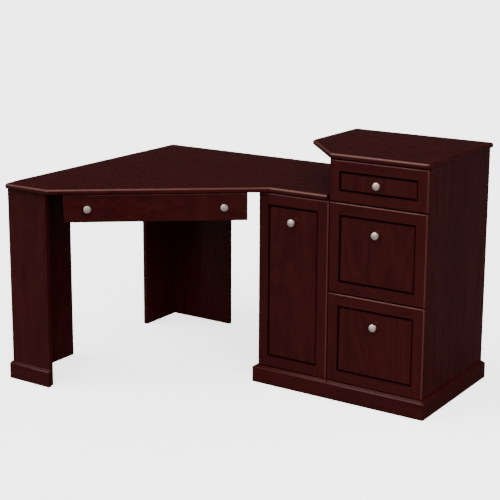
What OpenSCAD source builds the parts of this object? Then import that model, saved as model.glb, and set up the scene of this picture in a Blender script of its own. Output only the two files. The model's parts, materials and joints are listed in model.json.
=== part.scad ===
// Corner desk: an L-shaped worktop with a diagonal front, carried by an end leg, a corner leg
// and a door-and-drawer cabinet whose drawer side rises to a raised top.
// Millimetres, +Z up. The room corner is at the back left: one wall runs along +X, the other
// along -Y. The origin is under the middle of the whole desk, on the floor.

/* [Overall] */
// Width along the right-hand wall, over the base moulding
overall_w = 1510; // [1250:5:1850]
// Depth along the left-hand wall
overall_d = 1050; // [870:5:1270]
// Height of the raised top
overall_h = 917; // [880:1:1120]
// Height of the worktop surface
desk_h = 762; // [720:1:800]

/* [Boards] */
// Thickness of the worktop and the raised top
top_t = 19; // [16:1:30]
// Thickness of the sides, legs, floor and rails
board_t = 18; // [15:1:25]
// Thickness of the door and the drawer fronts
front_t = 18; // [15:1:22]
// Thickness of the drawer sides and drawer backs
drawer_board_t = 12; // [9:1:15]
// Thickness of the hardboard backs and drawer bottoms
sheet_t = 4; // [3:1:6]
// Radius of the upper corner of the worktop edges
edge_top_r = 9; // [2:1:12]
// Radius of the lower corner of the worktop edges
edge_low_r = 5; // [1:1:7]

/* [Worktop] */
// Length of the square end of the worktop, at the end leg
end_w = 218; // [180:1:300]
// Depth of the worktop where it crosses the cabinet
bay_top_d = 547; // [500:1:600]
// Length of the straight front edge over the door
straight_run = 240; // [150:1:280]
// How far the worktop stands proud of the door
top_overhang = 4; // [0:1:20]

/* [Raised top] */
// Width of the wing that reaches out over the worktop
wing_w = 200; // [120:5:260]
// Length of the wing's straight left edge, from the wall
wing_straight = 327; // [250:1:400]
// How far the raised top stands proud of the drawer fronts
raised_front_out = 3; // [0:0.5:10]
// How far the raised top stands proud of the cabinet's right side
raised_side_out = 3; // [0:0.5:10]

/* [Legs] */
// Gap between the legs and the walls
leg_wall_gap = 4; // [0:1:20]
// Width of the end panel, across the desk end
end_panel_w = 187; // [120:1:210]
// Length of the return panel along the wall, over the end panel
return_len = 327; // [200:1:420]
// Width of the left panel of the corner leg
corner_left_w = 220; // [120:1:300]
// Width of the right panel of the corner leg
corner_right_w = 295; // [150:1:400]

/* [Cabinet] */
// Width over both side panels
cab_w = 688; // [600:1:760]
// Width of the door
door_w = 297; // [250:1:340]
// Gap between neighbouring fronts
reveal = 3.5; // [2:0.5:5]
// Gap between the back of the cabinet and the wall
cab_wall_gap = 14; // [0:1:30]
// Gap between the fronts and the edges of the boards behind them
front_gap = 2; // [1:0.5:3]
// Width of the cross rails
rail_w = 80; // [50:1:120]

/* [Base moulding] */
// Height of the base moulding at its inner edge
base_h = 66; // [50:1:90]
// Thickness of the base moulding
base_t = 16; // [10:1:25]
// Fall of the sloping top of the moulding
base_fall = 6; // [2:1:14]
// How far the end leg's moulding runs past the front of its panel
base_past = 8; // [0:1:16]

/* [Fronts] */
// Width of the routed groove in the door and the cabinet's drawer fronts
groove_w = 9; // [5:1:14]
// Depth of the routed groove
groove_deep = 4; // [2:0.5:6]
// Width of the flat bottom of the groove
groove_flat = 2; // [1:0.5:4]
// Distance of the groove from the edges of the door and the file drawer fronts
groove_inset = 42; // [30:1:55]
// Distance of the groove from the edges of the box drawer front
box_groove_inset = 38.5; // [25:0.5:50]
// Radius of the rounded edges of the fronts
front_edge_r = 5; // [1:0.5:7]
// Height of the diagonal drawer front
centre_front_h = 104; // [80:1:140]
// Setback of the diagonal drawer front from the worktop edge
centre_setback = 12; // [5:1:30]
// Least distance of the diagonal drawer front from the left end of the edge
centre_left_min = 55; // [40:1:150]
// Distance of the diagonal drawer front from the right end of the edge
centre_right_gap = 80; // [70:1:150]
// Distance of the two knobs from the ends of the diagonal front
centre_knob_inset = 88; // [50:1:150]
// Distance of a knob below the top of the door and the file drawers
knob_drop = 98; // [60:1:130]

/* [Drawers] */
// Length of the cabinet drawers
drawer_len = 450; // [350:1:470]
// Length of the drawer under the diagonal edge
centre_len = 350; // [250:1:420]
// Height of the sides of the file drawers
file_side_h = 250; // [200:1:270]
// Height of the sides of the box drawer
box_side_h = 96; // [70:1:110]
// Height of the sides of the drawer under the diagonal edge
centre_side_h = 70; // [50:1:80]
// Height of a drawer's bottom above the lower edge of its sides
bottom_lift = 10; // [6:1:16]
// Depth of the groove that holds a drawer's bottom
bottom_groove = 6; // [4:0.5:8]

/* [Runners] */
// Side room that a runner fills
runner_t = 12.7; // [12.5:0.1:13.5]
// Height of a runner
runner_h = 45; // [35:1:50]
// Steel thickness of a runner
runner_steel = 1.2; // [1:0.1:1.5]

/* [Knobs] */
// Diameter of a knob
knob_d = 28; // [20:1:36]
// How far a knob stands out
knob_reach = 22; // [18:0.5:22]

/* [Hidden] */

// clearances
slip = 0.1;             // around a drawer's bottom in its groove and a hinge cup in its hole
under_top = 3;          // between a front and the top above it
over_base = 1.5;        // between a front and the base moulding below it
runner_play = 0.1;      // between a runner and the drawer side, on each side
runner_slip = 0.35;     // between the members of a runner
drawer_lift = 7;        // between a drawer and the rail below it
lowest_lift = 10;       // between the lowest drawer and the cabinet's floor
body_gap = 6;           // between the diagonal drawer's hangers and the end leg
over = 1;               // how far a cutting shape runs past the face that it cuts

// levels
top_under = desk_h - top_t;
raised_under = overall_h - top_t;
front_low = base_h + over_base;
door_top = top_under - under_top;
file_front_h = (door_top - front_low - reveal) / 2;
upper_front_low = front_low + file_front_h + reveal;
box_front_low = door_top + reveal;
box_front_h = raised_under - under_top - box_front_low;

// across the cabinet
raised_left_out = 0.5;  // how far the raised top's front stands past the drawer fronts' left ends
cab_r = overall_w - base_t;
cab_l = cab_r - cab_w;
door_r = cab_l + door_w;
drawer_l = door_r + reveal;
split = (door_r + drawer_l) / 2;
div_l = split - board_t / 2;
div_r = split + board_t / 2;

// front to back
front_y = -(bay_top_d - top_overhang);
front_back_y = front_y + front_t;
carcass_y = front_back_y + front_gap;
back_y = -cab_wall_gap - sheet_t;

// end leg and corner leg
leg_y = -overall_d + base_t;
leg_in = leg_wall_gap + board_t;

// the diagonal edge: its left end, its direction and its length
diag_from = [end_w, -overall_d];
diag_to = [div_l - straight_run, -bay_top_d];
diag_a = atan2(diag_to.y - diag_from.y, diag_to.x - diag_from.x);
diag_len = norm(diag_to - diag_from);

// the drawer under the diagonal edge, along the edge and inward from it
hanger_h = 60;
hanger_inset = 10;      // from the front's ends to the outer faces of the hangers
centre_side_lift = 15;  // from the front's lower edge to the sides' lower edge
centre_runner_drop = 5; // from the middle of the hangers to the middle of the runners
hanger_t = board_t;
centre_y = centre_setback + front_t;
centre_reach = centre_y + front_gap + centre_len;
centre_l = max(centre_left_min,
    (leg_in + body_gap - end_w + centre_reach * sin(diag_a)) / cos(diag_a) - hanger_inset);
centre_r = diag_len - centre_right_gap;
hanger_l = centre_l + hanger_inset;
hanger_r = centre_r - hanger_inset;
centre_box_l = hanger_l + hanger_t + runner_t + runner_play;
centre_box_r = hanger_r - hanger_t - runner_t - runner_play;
centre_front_low = door_top - centre_front_h;
centre_side_low = centre_front_low + centre_side_lift;
centre_runner_z = top_under - hanger_h / 2 - centre_runner_drop;

// the cabinet drawers
bay_r = cab_r - board_t;
box_l = div_r + runner_t + runner_play;
box_r = bay_r - runner_t - runner_play;
rail_low_z = upper_front_low - reveal / 2 - board_t / 2;
rail_high_z = box_front_low - reveal / 2 - board_t / 2;
lower_side_low = base_h + lowest_lift;
upper_side_low = rail_low_z + board_t + drawer_lift;
box_side_low = rail_high_z + board_t + drawer_lift;
drawer_back_y = front_back_y + drawer_len;
file_runner_up = 60;    // height of a runner's middle above the drawer's lower edge
box_runner_up = 48;
upper_z = upper_side_low + file_runner_up;
lower_z = lower_side_low + file_runner_up;
box_z = box_side_low + box_runner_up;

// door hinges: 35 mm cups whose effective pivot lies near the front corner of the door
pivot_in = 3;
pivot = [door_r - pivot_in, front_y + pivot_in];
cup_r = 17.5;
cup_deep = 12;
cup_wall = 1;
cup_edge = 5;           // from the door's edge to the cup
cup_flange = [20, 1.2, 52];
cup_x = door_r - cup_r - cup_edge;
plate = [4, 50, 48];    // thickness, length and height of a hinge's plate
plate_back = 20;        // from the divider's front edge to the plate
arm_h = 12;
arm_past = 4;           // how far the arm runs past its plate
nose = [6, 10];         // width and height of the nose that reaches into the cup
nose_side = 18;         // from the pivot to the nose, along the door
nose_back = 5;          // from the pivot to the nose, inward
hinge_from_end = 100;
hinge_z = [front_low + hinge_from_end, door_top - hinge_from_end];

// knob screws
screw_r = 2;
screw_hole_r = 2.4;
screw_head_r = 4.5;
screw_head_t = 2.5;
screw_in_knob = 8;
screw_play = 0.05;      // around the screw in the knob
screw_room = 0.5;       // beyond the screw's end in the knob

wood = [0.24, 0.07, 0.06];
wood_light = [0.33, 0.12, 0.09];
lining = [0.62, 0.47, 0.32];
sheet = [0.42, 0.27, 0.18];
nickel = [0.80, 0.76, 0.71];
steel = [0.62, 0.63, 0.65];
$fn = 64;

// ---- shared shapes

// Puts a shape drawn from the room corner into the desk's own frame
module room() { translate([-overall_w / 2, overall_d / 2, 0]) children(); }

// Puts a shape drawn along the diagonal edge, with +Y inward, into the desk's own frame
module diagonal() { room() translate([diag_from.x, diag_from.y, 0]) rotate(diag_a) children(); }

// A box between two values on each axis
module board(x, y, z) {
    translate([x[0], y[0], z[0]]) cube([x[1] - x[0], y[1] - y[0], z[1] - z[0]]);
}

function unit(v) = v / norm(v);
function left_of(v) = [-v.y, v.x];

// The outline with each edge moved inward by its own share of d (0 keeps it, 1 moves it)
function inset_outline(p, share, d) = [for (i = [0 : len(p) - 1])
    let (before = (i + len(p) - 1) % len(p), after = (i + 1) % len(p),
        n1 = left_of(unit(p[i] - p[before])), n2 = left_of(unit(p[after] - p[i])),
        d1 = share[before] * d, d2 = share[i] * d, det = n1.x * n2.y - n1.y * n2.x)
    p[i] + [d1 * n2.y - d2 * n1.y, d2 * n1.x - d1 * n2.x] / det];

// The rounded edge of a top as pairs of inset and height, from the underside up
edge_steps = 5;
function edge_profile() = concat(
    [for (k = [0 : edge_steps]) let (a = -90 + 90 * k / edge_steps)
        [edge_low_r * (1 - cos(a)), edge_low_r * (1 + sin(a))]],
    [for (k = [0 : edge_steps]) let (a = 90 * k / edge_steps)
        [edge_top_r * (1 - cos(a)), top_t - edge_top_r * (1 - sin(a))]]);

// A top with rounded edges where share is 1 and square edges where it is 0
module rounded_top(outline, share) {
    steps = edge_profile();
    n = len(outline);
    pts = [for (s = steps) for (p = inset_outline(outline, share, s[0])) [p.x, p.y, s[1]]];
    last = (len(steps) - 1) * n;
    sides = [for (k = [0 : len(steps) - 2]) for (i = [0 : n - 1])
        let (j = (i + 1) % n) [k * n + i, (k + 1) * n + i, (k + 1) * n + j, k * n + j]];
    polyhedron(concat(pts), concat([[for (i = [0 : n - 1]) i]], sides,
        [[for (i = [n - 1 : -1 : 0]) last + i]]));
}

// A moulding along +X that stands out towards -Y, with mitred ends where asked
module moulding(length, mitre_start, mitre_end) {
    intersection() {
        linear_extrude(base_h) polygon([[-base_t * mitre_start, -base_t],
            [length + base_t * mitre_end, -base_t], [length, 0], [0, 0]]);
        translate([-base_t, 0, 0]) rotate([90, 0, 90]) linear_extrude(length + 2 * base_t)
            polygon([[-base_t, 0], [0, 0], [0, base_h], [-base_t, base_h - base_fall]]);
    }
}

// A block whose section grows by g on each side between y[0] and y[1]
module tapered_block(x, y, z, g) {
    more = abs(g);
    intersection() {
        translate([0, 0, z[0] - more]) linear_extrude(z[1] - z[0] + 2 * more)
            polygon([[x[0], y[0]], [x[1], y[0]], [x[1] + g, y[1]], [x[0] - g, y[1]]]);
        translate([x[0] - more, 0, 0]) rotate([90, 0, 90])
            linear_extrude(x[1] - x[0] + 2 * more)
            polygon([[y[0], z[0]], [y[1], z[0] - g], [y[1], z[1] + g], [y[0], z[1]]]);
    }
}

// A rectangular groove with sloping sides in the face y of a front that looks towards -Y
module front_groove(x, y, z, inset) {
    slope = (groove_w - groove_flat) / 2 / groove_deep;
    near = inset - slope * over;
    far = inset + groove_w + slope * over;
    difference() {
        tapered_block([x[0] + near, x[1] - near], [y - over, y + groove_deep],
            [z[0] + near, z[1] - near], -slope * (groove_deep + over));
        tapered_block([x[0] + far, x[1] - far], [y - over, y + groove_deep + over],
            [z[0] + far, z[1] - far], slope * (groove_deep + 2 * over));
    }
}

// A rectangle with two rounded corners, at the low end of b
module eased_section(a, b, r) {
    translate([a[0], b[0] + r]) square([a[1] - a[0], b[1] - b[0] - r]);
    translate([a[0] + r, b[0]]) square([a[1] - a[0] - 2 * r, 2 * r]);
    for (c = [a[0] + r, a[1] - r]) translate([c, b[0] + r]) circle(r = r);
}

// A front whose face at y[0] has rounded edges
module eased_front(x, y, z) {
    intersection() {
        translate([0, 0, z[0]]) linear_extrude(z[1] - z[0]) eased_section(x, y, front_edge_r);
        translate([x[0], 0, 0]) rotate([90, 0, 90]) linear_extrude(x[1] - x[0])
            mirror([1, -1]) eased_section(z, y, front_edge_r);
    }
}

// The hole for a knob's screw
module knob_hole(x, y, z) {
    translate([x, y - over, z]) rotate([-90, 0, 0])
        cylinder(r = screw_hole_r, h = front_t + 2 * over);
}

// A front with its groove and the hole for its knob
module framed_front(x, z, inset, knob_z) {
    difference() {
        eased_front(x, [front_y, front_back_y], z);
        front_groove(x, front_y, z, inset);
        knob_hole((x[0] + x[1]) / 2, front_y, knob_z);
    }
}

// A turned knob on the face y of a front, with the screw that holds it from behind
module knob(x, y, z) {
    r = knob_d / 2;
    translate([x, y, z]) rotate([90, 0, 0]) {
        difference() {
            rotate_extrude() polygon([[0, 0], [0.55 * r, 0], [0.55 * r, 1.5], [0.4 * r, 3.5],
                [0.36 * r, 0.4 * knob_reach], [0.8 * r, 0.55 * knob_reach],
                [r, 0.68 * knob_reach], [0.97 * r, 0.8 * knob_reach],
                [0.78 * r, 0.92 * knob_reach], [0.4 * r, 0.985 * knob_reach], [0, knob_reach]]);
            translate([0, 0, -over]) cylinder(r = screw_r + screw_play,
                h = screw_in_knob + over + screw_room);
        }
        translate([0, 0, -front_t]) cylinder(r = screw_r, h = front_t + screw_in_knob);
        translate([0, 0, -front_t - screw_head_t]) cylinder(r = screw_head_r, h = screw_head_t);
    }
}

// Cross-sections of a runner's members: x from the fixed board to the drawer, y up. The outer
// member holds the middle one, which holds the inner one.
outer_h = runner_h / 2;
middle_h = outer_h - runner_steel - runner_slip;
inner_h = middle_h - runner_steel - runner_slip;
outer_reach = 9;
middle_x = [2.6, 10.6];
inner_x = 7.6;
web = (middle_x[0] + inner_x - runner_steel) / 2;
module outer_section() {
    s = runner_steel;
    translate([0, -outer_h]) square([s, 2 * outer_h]);
    translate([0, -outer_h]) square([outer_reach, s]);
    translate([0, outer_h - s]) square([outer_reach, s]);
}
module middle_section() {
    s = runner_steel;
    translate([middle_x[0], -middle_h]) square([middle_x[1] - middle_x[0], s]);
    translate([middle_x[0], middle_h - s]) square([middle_x[1] - middle_x[0], s]);
    translate([web, -middle_h]) square([s, 2 * middle_h]);
}
module inner_section(h = inner_h) {
    s = runner_steel;
    translate([runner_t - s, -h]) square([s, 2 * h]);
    translate([inner_x, -h]) square([runner_t - inner_x, s]);
    translate([inner_x, h - s]) square([runner_t - inner_x, s]);
}

// A pair of runner members between the fixed boards at a and b, from y_front back
module runner_pair(a, b, y_front, length, z) {
    for (side = [0, 1]) translate([side == 0 ? a : b, y_front, z])
        mirror([side, 0, 0]) translate([0, length, 0])
            rotate([90, 0, 0]) linear_extrude(length) children();
}

// ---- tops

module worktop() {
    color(wood_light) room() translate([0, 0, top_under]) rounded_top(
        [[0, 0], [0, -overall_d], diag_from, diag_to, [div_l, -bay_top_d], [div_l, 0]],
        [0, 1, 1, 1, 0, 0]);
}

// Raised top, with a wing that reaches out over the worktop
module raised_top() {
    f = front_y - raised_front_out;
    l = drawer_l - raised_left_out;
    color(wood_light) room() translate([0, 0, raised_under]) rounded_top(
        [[l - wing_w, 0], [l - wing_w, -wing_straight], [l, f], [cab_r + raised_side_out, f],
            [cab_r + raised_side_out, 0]],
        [1, 1, 1, 1, 0]);
}

// ---- legs

module end_panel() {
    color(wood) room() board([leg_wall_gap, leg_wall_gap + end_panel_w],
        [leg_y, leg_y + board_t], [0, top_under]);
}

module end_return_panel() {
    color(wood) room() board([leg_wall_gap, leg_in], [leg_y + board_t, leg_y + return_len],
        [0, top_under]);
}

module end_base_moulding() {
    color(wood) room() translate([0, leg_y, 0])
        moulding(leg_wall_gap + end_panel_w + base_past, 0, 0);
}

module corner_leg_left() {
    color(wood) room() board([leg_wall_gap, leg_in],
        [-leg_wall_gap - corner_left_w, -leg_wall_gap], [0, top_under]);
}

module corner_leg_right() {
    color(wood) room() board([leg_in, leg_in + corner_right_w], [-leg_in, -leg_wall_gap],
        [0, top_under]);
}

// ---- cabinet

module cabinet_left_side() {
    color(wood) room() board([cab_l, cab_l + board_t], [carcass_y, back_y], [0, top_under]);
}

module cabinet_divider() {
    color(wood) room() board([div_l, div_r], [carcass_y, back_y], [base_h, raised_under]);
}

module cabinet_right_side() {
    color(wood) room() board([bay_r, cab_r], [carcass_y, back_y], [0, raised_under]);
}

module cabinet_floor() {
    color(wood) room() board([cab_l + board_t, bay_r], [carcass_y, back_y],
        [base_h - board_t, base_h]);
}

back_inset = 2;
back_half_gap = 0.5;
module door_bay_back() {
    color(sheet) room() board([cab_l + back_inset, split - back_half_gap],
        [back_y, back_y + sheet_t], [base_h - board_t, top_under - back_inset]);
}

module drawer_bay_back() {
    color(sheet) room() board([split + back_half_gap, cab_r - back_inset],
        [back_y, back_y + sheet_t], [base_h - board_t, raised_under - back_inset]);
}

module plinth_board() {
    color(wood) room() board([cab_l, cab_r], [front_y, carcass_y], [0, base_h]);
}

module base_moulding_front() {
    color(wood) room() translate([cab_l, front_y, 0]) moulding(cab_w, 1, 1);
}

module base_moulding_sides() {
    depth = -front_y - cab_wall_gap;
    color(wood) room() {
        translate([cab_r, front_y, 0]) rotate(90) moulding(depth, 1, 0);
        translate([cab_l, front_y + depth, 0]) rotate(-90) moulding(depth, 0, 1);
    }
}

// Two rails under the worktop, front and back
module door_bay_rails() {
    z = [top_under - board_t, top_under];
    color(wood) room() {
        board([cab_l + board_t, div_l], [carcass_y, carcass_y + rail_w], z);
        board([cab_l + board_t, div_l], [back_y - rail_w, back_y], z);
    }
}

// Rails between the drawers, and two under the raised top
module drawer_bay_rails() {
    color(wood) room() {
        for (z = [rail_low_z, rail_high_z, raised_under - board_t])
            board([div_r, bay_r], [carcass_y, carcass_y + rail_w], [z, z + board_t]);
        board([div_r, bay_r], [back_y - rail_w, back_y],
            [raised_under - board_t, raised_under]);
    }
}

// ---- brackets that hold the worktop: an angle with one leg on a board, one under the top
bracket_leg = 28;
bracket_t = 2;
bracket_w = 40;
module bracket() {
    translate([0, -bracket_w / 2, -bracket_leg]) cube([bracket_t, bracket_w, bracket_leg]);
    translate([bracket_t, -bracket_w / 2, -bracket_t])
        cube([bracket_leg - bracket_t, bracket_w, bracket_t]);
}

// Screw heads on one bracket, two on each leg
bracket_head_r = 3.5;
bracket_head_t = 2;
module bracket_heads() {
    middle = (bracket_leg + 2 * bracket_t) / 2;
    for (s = [-1, 1]) {
        translate([bracket_t, s * bracket_w / 4, -middle])
            rotate([0, 90, 0]) cylinder(r = bracket_head_r, h = bracket_head_t);
        translate([middle, s * bracket_w / 4, -bracket_t - bracket_head_t])
            cylinder(r = bracket_head_r, h = bracket_head_t);
    }
}

// Where the brackets sit: the point at the board's face under the top, and the turn
bracket_places = [
    [leg_in, leg_y + 0.7 * return_len, 0], [leg_wall_gap + 0.6 * end_panel_w, leg_y + board_t, 90],
    [leg_in, -leg_wall_gap - 0.7 * corner_left_w, 0],
    [leg_in + 0.7 * corner_right_w, -leg_in, -90],
    [cab_l, back_y - 120, 180], [cab_l, front_y / 2 - 60, 180]];
module at_brackets() {
    for (p = bracket_places) room() translate([p[0], p[1], top_under]) rotate(p[2]) children();
}

module corner_brackets() { color(steel) at_brackets() bracket(); }

module bracket_screws() { color(steel) at_brackets() bracket_heads(); }

// ---- door

module door() {
    color(wood_light) room() difference() {
        framed_front([cab_l, door_r], [front_low, door_top], groove_inset, door_top - knob_drop);
        for (z = hinge_z) translate([cup_x, front_back_y - cup_deep - slip, z])
            rotate([-90, 0, 0]) cylinder(r = cup_r + slip, h = cup_deep + slip + over);
    }
}

module door_knob() {
    color(nickel) room() knob((cab_l + door_r) / 2, front_y, door_top - knob_drop);
}

// Hinge cups let into the back of the door, each with its flange
module hinge_cups() {
    color(steel) room() for (z = hinge_z) translate([cup_x, front_back_y, z]) difference() {
        union() {
            rotate([90, 0, 0]) cylinder(r = cup_r, h = cup_deep);
            translate([-cup_flange[0] / 2, 0, -cup_flange[2] / 2]) cube(cup_flange);
        }
        translate([0, cup_flange[1] + over, 0]) rotate([90, 0, 0])
            cylinder(r = cup_r - cup_wall, h = cup_deep - cup_wall + cup_flange[1] + over);
    }
}

// Hinge arms on their plates on the divider, with the noses that reach into the cups
module hinge_arms() {
    plate_x = div_l - plate[0];
    plate_y = carcass_y + plate_back;
    nose_r = pivot.x - nose_side;
    nose_l = nose_r - nose[0];
    color(steel) room() for (z = hinge_z) {
        board([plate_x, div_l], [plate_y, plate_y + plate[1]],
            [z - plate[2] / 2, z + plate[2] / 2]);
        board([nose_l, plate_x], [plate_y, plate_y + plate[1] + arm_past],
            [z - arm_h / 2, z + arm_h / 2]);
        board([nose_l, nose_r], [pivot.y + nose_back, plate_y],
            [z - nose[1] / 2, z + nose[1] / 2]);
    }
}

// ---- drawers: parts that the four drawers share

// A drawer side from y_front back, grooved for the bottom on its inner face
module drawer_side(x, inner, y_front, length, low, high) {
    lip = inner > 0 ? [x[1] - bottom_groove, x[1] + over]
        : [x[0] - over, x[0] + bottom_groove];
    difference() {
        board(x, [y_front, y_front + length], [low, high]);
        board(lip, [y_front - over, y_front + length + over],
            [low + bottom_lift, low + bottom_lift + sheet_t + 2 * slip]);
    }
}

// The sheet bottom, held in the grooves of both sides
bottom_play = 0.5;
module drawer_bottom(l, r, y_front, length, low) {
    grip = bottom_groove - bottom_play;
    board([l + drawer_board_t - grip, r - drawer_board_t + grip], [y_front, y_front + length],
        [low + bottom_lift, low + bottom_lift + sheet_t]);
}

// The back, between the sides and on the bottom
module drawer_back(l, r, y_back, low, high) {
    board([l + drawer_board_t, r - drawer_board_t], [y_back - drawer_board_t, y_back],
        [low + bottom_lift + sheet_t, high]);
}

// ---- drawer under the diagonal edge

module centre_drawer_hangers() {
    color(wood) diagonal() for (x = [hanger_l, hanger_r - hanger_t])
        board([x, x + hanger_t], [centre_y + front_gap, centre_reach],
            [top_under - hanger_h, top_under]);
}

// Runner members between the hangers
module centre_runner() {
    color(steel) diagonal() runner_pair(hanger_l + hanger_t, hanger_r - hanger_t,
        centre_y + front_gap, centre_len, centre_runner_z) children();
}

module centre_front() {
    color(wood_light) diagonal() difference() {
        eased_front([centre_l, centre_r], [centre_setback, centre_y],
            [centre_front_low, centre_front_low + centre_front_h]);
        for (x = [centre_l + centre_knob_inset, centre_r - centre_knob_inset])
            knob_hole(x, centre_setback, centre_front_low + centre_front_h / 2);
    }
}

module centre_knobs() {
    color(nickel) diagonal() for (x = [centre_l + centre_knob_inset,
            centre_r - centre_knob_inset])
        knob(x, centre_setback, centre_front_low + centre_front_h / 2);
}

module centre_sides() {
    high = centre_side_low + centre_side_h;
    color(lining) diagonal() {
        drawer_side([centre_box_l, centre_box_l + drawer_board_t], 1, centre_y, centre_len,
            centre_side_low, high);
        drawer_side([centre_box_r - drawer_board_t, centre_box_r], -1, centre_y, centre_len,
            centre_side_low, high);
    }
}

module centre_back() {
    color(lining) diagonal() drawer_back(centre_box_l, centre_box_r, centre_y + centre_len,
        centre_side_low, centre_side_low + centre_side_h);
}

module centre_bottom() {
    color(sheet) diagonal() drawer_bottom(centre_box_l, centre_box_r, centre_y, centre_len,
        centre_side_low);
}

// ---- cabinet drawers

module cab_side_left(low, h) {
    color(lining) room() drawer_side([box_l, box_l + drawer_board_t], 1, front_back_y,
        drawer_len, low, low + h);
}

module cab_side_right(low, h) {
    color(lining) room() drawer_side([box_r - drawer_board_t, box_r], -1, front_back_y,
        drawer_len, low, low + h);
}

module cab_back(low, h) {
    color(lining) room() drawer_back(box_l, box_r, drawer_back_y, low, low + h);
}

module cab_bottom(low) {
    color(sheet) room() drawer_bottom(box_l, box_r, front_back_y, drawer_len, low);
}

// Runner members on the boards of the drawer bay, their middle at height z
runner_back = 1;        // from the boards' front edges to the runners
runner_less = 6;        // how much shorter the runners are than the drawers
module cab_runner(z) {
    color(steel) room() runner_pair(div_r, bay_r, carcass_y + runner_back,
        drawer_len - runner_less, z) children();
}

// Rails that hanging files hook over, one on each side
hook_rail_t = 2;
hook_rail_h = 16;
hook_rail_up = 6;       // how far they stand above the drawer's sides
hook_rail_gap = 6;      // between their ends and the front and the back
module hanging_rails(low) {
    z = [low + file_side_h + hook_rail_up - hook_rail_h, low + file_side_h + hook_rail_up];
    y = [front_back_y + hook_rail_gap, drawer_back_y - drawer_board_t - hook_rail_gap];
    l = box_l + drawer_board_t;
    r = box_r - drawer_board_t;
    color(nickel) room() {
        board([l, l + hook_rail_t], y, z);
        board([r - hook_rail_t, r], y, z);
    }
}

module file_front(low) {
    color(wood_light) room() framed_front([drawer_l, cab_r], [low, low + file_front_h],
        groove_inset, low + file_front_h - knob_drop);
}

module file_knob(low) {
    color(nickel) room() knob((drawer_l + cab_r) / 2, front_y, low + file_front_h - knob_drop);
}

module box_front() {
    color(wood_light) room() framed_front([drawer_l, cab_r],
        [box_front_low, box_front_low + box_front_h], box_groove_inset,
        box_front_low + box_front_h / 2);
}

module box_knob() {
    color(nickel) room() knob((drawer_l + cab_r) / 2, front_y, box_front_low + box_front_h / 2);
}

worktop();
raised_top();
end_panel();
end_return_panel();
end_base_moulding();
corner_leg_left();
corner_leg_right();
cabinet_left_side();
cabinet_divider();
cabinet_right_side();
cabinet_floor();
door_bay_back();
drawer_bay_back();
plinth_board();
base_moulding_front();
base_moulding_sides();
door_bay_rails();
drawer_bay_rails();
corner_brackets();
bracket_screws();
centre_drawer_hangers();
centre_runner() outer_section();  // centre_runner_outer
cab_runner(box_z) outer_section();  // box_runner_outer
cab_runner(upper_z) outer_section();  // upper_file_runner_outer
cab_runner(lower_z) outer_section();  // lower_file_runner_outer
hinge_arms();
door();
door_knob();
hinge_cups();
centre_front();
centre_sides();
centre_back();
centre_bottom();
centre_knobs();
centre_runner() inner_section(middle_h);  // centre_runner_inner
box_front();
cab_side_left(box_side_low, box_side_h);  // box_side_left
cab_side_right(box_side_low, box_side_h);  // box_side_right
cab_back(box_side_low, box_side_h);  // box_back
cab_bottom(box_side_low);  // box_bottom
box_knob();
cab_runner(box_z) inner_section(middle_h);  // box_runner_inner
file_front(upper_front_low);  // upper_file_front
cab_side_left(upper_side_low, file_side_h);  // upper_file_side_left
cab_side_right(upper_side_low, file_side_h);  // upper_file_side_right
cab_back(upper_side_low, file_side_h);  // upper_file_back
cab_bottom(upper_side_low);  // upper_file_bottom
file_knob(upper_front_low);  // upper_file_knob
cab_runner(upper_z) inner_section();  // upper_file_runner_inner
cab_runner(upper_z) middle_section();  // upper_file_runner_middle
hanging_rails(upper_side_low);  // upper_file_hanging_rails
file_front(front_low);  // lower_file_front
cab_side_left(lower_side_low, file_side_h);  // lower_file_side_left
cab_side_right(lower_side_low, file_side_h);  // lower_file_side_right
cab_back(lower_side_low, file_side_h);  // lower_file_back
cab_bottom(lower_side_low);  // lower_file_bottom
file_knob(front_low);  // lower_file_knob
cab_runner(lower_z) inner_section();  // lower_file_runner_inner
cab_runner(lower_z) middle_section();  // lower_file_runner_middle
hanging_rails(lower_side_low);  // lower_file_hanging_rails
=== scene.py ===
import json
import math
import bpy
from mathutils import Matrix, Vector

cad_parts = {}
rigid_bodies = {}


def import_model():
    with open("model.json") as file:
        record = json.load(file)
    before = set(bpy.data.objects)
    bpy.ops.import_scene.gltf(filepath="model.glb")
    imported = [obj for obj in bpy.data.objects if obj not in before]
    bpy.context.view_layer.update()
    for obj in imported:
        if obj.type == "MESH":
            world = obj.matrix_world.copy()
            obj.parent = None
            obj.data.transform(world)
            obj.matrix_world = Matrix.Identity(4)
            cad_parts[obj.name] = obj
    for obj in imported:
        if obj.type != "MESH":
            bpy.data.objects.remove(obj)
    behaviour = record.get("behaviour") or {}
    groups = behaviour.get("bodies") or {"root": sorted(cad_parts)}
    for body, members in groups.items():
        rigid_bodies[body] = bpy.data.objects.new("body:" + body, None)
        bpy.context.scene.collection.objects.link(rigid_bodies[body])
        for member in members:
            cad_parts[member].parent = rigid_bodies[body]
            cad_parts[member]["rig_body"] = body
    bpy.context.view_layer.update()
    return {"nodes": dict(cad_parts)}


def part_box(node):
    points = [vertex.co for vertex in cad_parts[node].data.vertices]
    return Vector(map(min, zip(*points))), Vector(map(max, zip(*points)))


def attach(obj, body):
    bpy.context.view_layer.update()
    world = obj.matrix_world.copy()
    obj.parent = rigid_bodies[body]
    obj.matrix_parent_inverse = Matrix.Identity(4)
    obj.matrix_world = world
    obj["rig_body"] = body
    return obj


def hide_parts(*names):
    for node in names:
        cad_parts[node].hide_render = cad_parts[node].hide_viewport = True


bl_info = {
    "name": "Corner Desk",
    "version": (1, 0, 0),
    "blender": (4, 5, 0),
    "location": "3D View > Sidebar > Corner Desk",
    "description": "Builds the finished pieces of a dark cherry corner desk around its frame",
    "category": "Add Mesh",
}

import bmesh
import bpy
from bpy.props import FloatProperty, FloatVectorProperty, IntProperty, PointerProperty
from mathutils import Matrix, Vector

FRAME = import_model()
NODES = FRAME["nodes"]

MM = 0.001

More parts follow.
